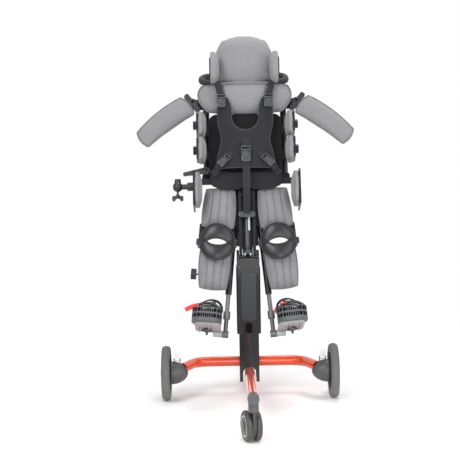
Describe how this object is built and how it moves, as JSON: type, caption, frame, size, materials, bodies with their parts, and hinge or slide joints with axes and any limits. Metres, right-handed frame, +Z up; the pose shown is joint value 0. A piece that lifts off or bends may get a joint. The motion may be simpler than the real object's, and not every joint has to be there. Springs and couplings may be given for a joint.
{
  "type": "standing frame",
  "caption": "Child's tilting standing frame on wheels, with padded head, trunk, hip and knee supports, a harness, foot sandals and a telescopic column.",
  "frame": {"origin": "on the floor under the middle of the base, on the line of the side wheels' axles", "axes": "+Z up, the user faces -Y, +X to the right of a viewer who faces the user"},
  "size_m": [0.8288, 1.2124, 1.3541],
  "materials": {
    "orange_paint": "gloss",
    "black_paint": "satin",
    "black_plastic": "matte",
    "dark_casting": "satin",
    "grey_fabric": "matte",
    "black_fabric": "matte",
    "silver_metal": "satin",
    "tyre_rubber": "matte",
    "white_plastic": "gloss",
    "foam_grip": "matte",
    "steel_rod": "polished"
  },
  "bodies": {
    "base": {"crossbar": "orange_paint", "base_legs": "orange_paint", "leg_ends": "dark_casting", "inner_column": "black_paint", "lift_cylinder": "dark_casting", "hub_domes": "dark_casting"},
    "wheel_left": {"rim_left": "dark_casting", "tyre_left": "tyre_rubber"},
    "wheel_right": {"rim_right": "dark_casting", "tyre_right": "tyre_rubber"},
    "brake_left": {"brake_pedal_left": "white_plastic"},
    "brake_right": {"brake_pedal_right": "white_plastic"},
    "front_caster": {"front_caster_hood": "black_plastic"},
    "front_caster_roller": {"front_caster_wheels": "tyre_rubber"},
    "rear_caster": {"rear_caster_hood": "black_plastic"},
    "rear_caster_roller": {"rear_caster_wheels": "tyre_rubber"},
    "mast": {"outer_column": "black_paint", "column_head": "dark_casting", "lift_rod": "steel_rod"},
    "tilt_frame": {"spine_rails": "black_paint", "strut_rod": "steel_rod", "back_hoop": "orange_paint", "back_plate": "black_plastic", "back_pad": "grey_fabric", "hip_belt": "black_fabric", "vest": "black_fabric", "harness_straps": "black_fabric"},
    "strut": {"strut_cylinder": "dark_casting"},
    "handle": {"push_handle": "foam_grip"},
    "headrest": {"head_post": "black_paint", "head_pad": "grey_fabric", "head_wings": "grey_fabric"},
    "arm_left": {"arm_bracket_left": "black_plastic", "arm_pad_left": "grey_fabric"},
    "arm_right": {"arm_bracket_right": "black_plastic", "arm_pad_right": "grey_fabric"},
    "chest_left": {"chest_brackets_left": "black_paint", "chest_pads_left": "grey_fabric"},
    "chest_right": {"chest_brackets_right": "black_paint", "chest_pads_right": "grey_fabric"},
    "hip_left": {"hip_bracket_left": "black_paint", "hip_pad_left": "grey_fabric", "accessory_clamp": "black_plastic"},
    "hip_right": {"hip_bracket_right": "black_paint", "hip_pad_right": "grey_fabric"},
    "clamp_screw": {"wing_screw": "black_plastic"},
    "lever": {"release_lever": "black_plastic"},
    "leg_left": {"leg_rail_left": "black_paint", "leg_pads_left": "grey_fabric", "knee_cup_left": "black_fabric"},
    "leg_right": {"leg_rail_right": "black_paint", "leg_pads_right": "grey_fabric", "knee_cup_right": "black_fabric"},
    "foot_left": {"foot_rod_left": "silver_metal"},
    "foot_right": {"foot_rod_right": "silver_metal"},
    "sole_left": {"footplate_left": "silver_metal", "sandal_left": "dark_casting"},
    "sole_right": {"footplate_right": "silver_metal", "sandal_right": "dark_casting"},
    "calf_screw": {"calf_knob": "black_plastic"}
  },
  "joints": [
    {"name": "lift", "type": "slide", "parent": "base", "child": "mast", "axis": [0, 0, 1], "range_m": [0, 0.12]},
    {"name": "tilt", "type": "hinge", "parent": "mast", "child": "tilt_frame", "pos_m": [0, 0.105, 0.515], "axis": [-1, 0, 0], "range_deg": [-20, 70]},
    {"name": "strut_travel", "type": "slide", "parent": "tilt_frame", "child": "strut", "axis": [0, -0.342, -0.9397], "range_m": [-0.01, 0.034]},
    {"name": "handle_turn", "type": "hinge", "parent": "tilt_frame", "child": "handle", "pos_m": [0, 0.36242, 1.15559], "axis": [1, 0, 0], "range_deg": [-20, 40]},
    {"name": "head_height", "type": "slide", "parent": "tilt_frame", "child": "headrest", "axis": [0, 0.342, 0.9397], "range_m": [0, 0.06]},
    {"name": "arm_left_turn", "type": "hinge", "parent": "tilt_frame", "child": "arm_left", "pos_m": [-0.2, 0.30492, 1.09351], "axis": [0, 0.9397, -0.342], "range_deg": [-10, 20]},
    {"name": "chest_left_reach", "type": "slide", "parent": "tilt_frame", "child": "chest_left", "axis": [-1, 0, 0], "range_m": [-0.02, 0.02]},
    {"name": "hip_left_reach", "type": "slide", "parent": "tilt_frame", "child": "hip_left", "axis": [-1, 0, 0], "range_m": [0, 0.03]},
    {"name": "leg_left_spread", "type": "hinge", "parent": "tilt_frame", "child": "leg_left", "pos_m": [-0.05, 0.14775, 0.63246], "axis": [0, 0.9397, -0.342], "range_deg": [-2, 2]},
    {"name": "foot_left_height", "type": "slide", "parent": "leg_left", "child": "foot_left", "axis": [0.0941, 0.3405, 0.9355], "range_m": [0, 0.06]},
    {"name": "sole_left_tilt", "type": "hinge", "parent": "foot_left", "child": "sole_left", "pos_m": [-0.10944, 0.00539, 0.24131], "axis": [0.9956, -0.0322, -0.0884], "range_deg": [-10, 15]},
    {"name": "wheel_left_roll", "type": "hinge", "parent": "base", "child": "wheel_left", "pos_m": [-0.309, 0, 0.1], "axis": [1, 0, 0], "continuous": true},
    {"name": "brake_left_press", "type": "hinge", "parent": "base", "child": "brake_left", "pos_m": [-0.2656, 0, 0.1491], "axis": [-1, 0, 0], "range_deg": [0, 20]},
    {"name": "arm_right_turn", "type": "hinge", "parent": "tilt_frame", "child": "arm_right", "pos_m": [0.2, 0.30492, 1.09351], "axis": [0, -0.9397, 0.342], "range_deg": [-10, 20]},
    {"name": "chest_right_reach", "type": "slide", "parent": "tilt_frame", "child": "chest_right", "axis": [1, 0, 0], "range_m": [-0.02, 0.02]},
    {"name": "hip_right_reach", "type": "slide", "parent": "tilt_frame", "child": "hip_right", "axis": [1, 0, 0], "range_m": [0, 0.03]},
    {"name": "leg_right_spread", "type": "hinge", "parent": "tilt_frame", "child": "leg_right", "pos_m": [0.05, 0.14775, 0.63246], "axis": [0, -0.9397, 0.342], "range_deg": [-2, 2]},
    {"name": "foot_right_height", "type": "slide", "parent": "leg_right", "child": "foot_right", "axis": [-0.0941, 0.3405, 0.9355], "range_m": [0, 0.06]},
    {"name": "sole_right_tilt", "type": "hinge", "parent": "foot_right", "child": "sole_right", "pos_m": [0.10944, 0.00539, 0.24131], "axis": [0.9956, 0.0322, 0.0884], "range_deg": [-10, 15]},
    {"name": "wheel_right_roll", "type": "hinge", "parent": "base", "child": "wheel_right", "pos_m": [0.309, 0, 0.1], "axis": [1, 0, 0], "continuous": true},
    {"name": "brake_right_press", "type": "hinge", "parent": "base", "child": "brake_right", "pos_m": [0.2656, 0, 0.1491], "axis": [-1, 0, 0], "range_deg": [0, 20]},
    {"name": "front_caster_swivel", "type": "hinge", "parent": "base", "child": "front_caster", "pos_m": [0, -0.578, 0.12], "axis": [0, 0, 1], "continuous": true},
    {"name": "front_caster_roll", "type": "hinge", "parent": "front_caster", "child": "front_caster_roller", "pos_m": [-0.00677, -0.55083, 0.05], "axis": [0.9703, 0.2419, 0], "continuous": true},
    {"name": "rear_caster_swivel", "type": "hinge", "parent": "base", "child": "rear_caster", "pos_m": [0, 0.5305, 0.12], "axis": [0, 0, 1], "continuous": true},
    {"name": "rear_caster_roll", "type": "hinge", "parent": "rear_caster", "child": "rear_caster_roller", "pos_m": [0, 0.5585, 0.05], "axis": [1, 0, 0], "continuous": true},
    {"name": "clamp_screw_turn", "type": "hinge", "parent": "hip_left", "child": "clamp_screw", "pos_m": [-0.2573, 0.09474, 0.76456], "axis": [0, 0.342, 0.9397], "range_deg": [-180, 180]},
    {"name": "calf_screw_turn", "type": "hinge", "parent": "leg_left", "child": "calf_screw", "pos_m": [-0.17711, 0.06358, 0.45676], "axis": [-0.9956, 0.0322, 0.0884], "range_deg": [-180, 180]},
    {"name": "lever_pull", "type": "hinge", "parent": "tilt_frame", "child": "lever", "pos_m": [-0.15, 0.16576, 0.83981], "axis": [0, 0.9397, -0.342], "range_deg": [0, 8], "stiffness_Nm_per_rad": 1.5, "springref_deg": -5.73}
  ],
  "couplings": [
    {"joint": "strut_travel", "follows": "tilt", "m_per_rad": 0.027}
  ]
}
